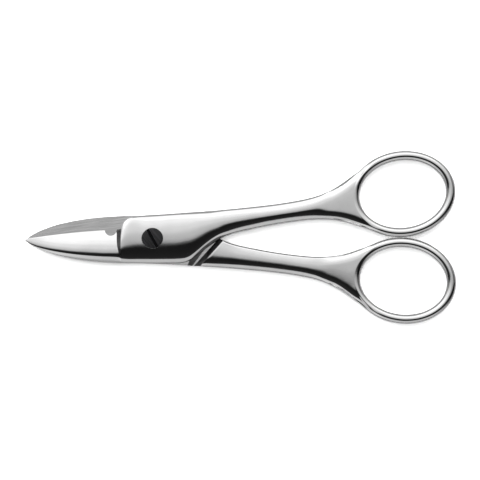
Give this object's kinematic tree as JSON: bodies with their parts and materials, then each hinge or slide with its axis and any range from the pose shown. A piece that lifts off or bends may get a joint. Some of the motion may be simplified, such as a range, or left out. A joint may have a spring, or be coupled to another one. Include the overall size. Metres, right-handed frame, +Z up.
{
  "type": "thread snips",
  "caption": "All-steel thread snips: crossed forged halves with bypass blades, a wire notch, oval finger bows and a black slotted pivot screw.",
  "frame": {"origin": "middle of the closed snips' outline, on the surface that they lie on", "axes": "+X from the blade tips to the finger bows, +Y towards the front half's bow, +Z up through the pivot towards the screw head"},
  "size_m": [0.13, 0.0522, 0.0048],
  "materials": {
    "polished_steel": "outer faces polished bright, inner blade faces ground",
    "blackened_steel": "blackened steel, satin, worn at the rim and the slot"
  },
  "bodies": {
    "rear_body": {"rear_half": "polished_steel", "pivot_screw": "blackened_steel"},
    "front_body": {"front_half": "polished_steel"}
  },
  "joints": [
    {"name": "pivot", "type": "hinge", "parent": "rear_body", "child": "front_body", "pos_m": [-0.0265, 0.00035, 0.0024], "axis": [0, 0, 1], "range_deg": [0, 90]}
  ]
}
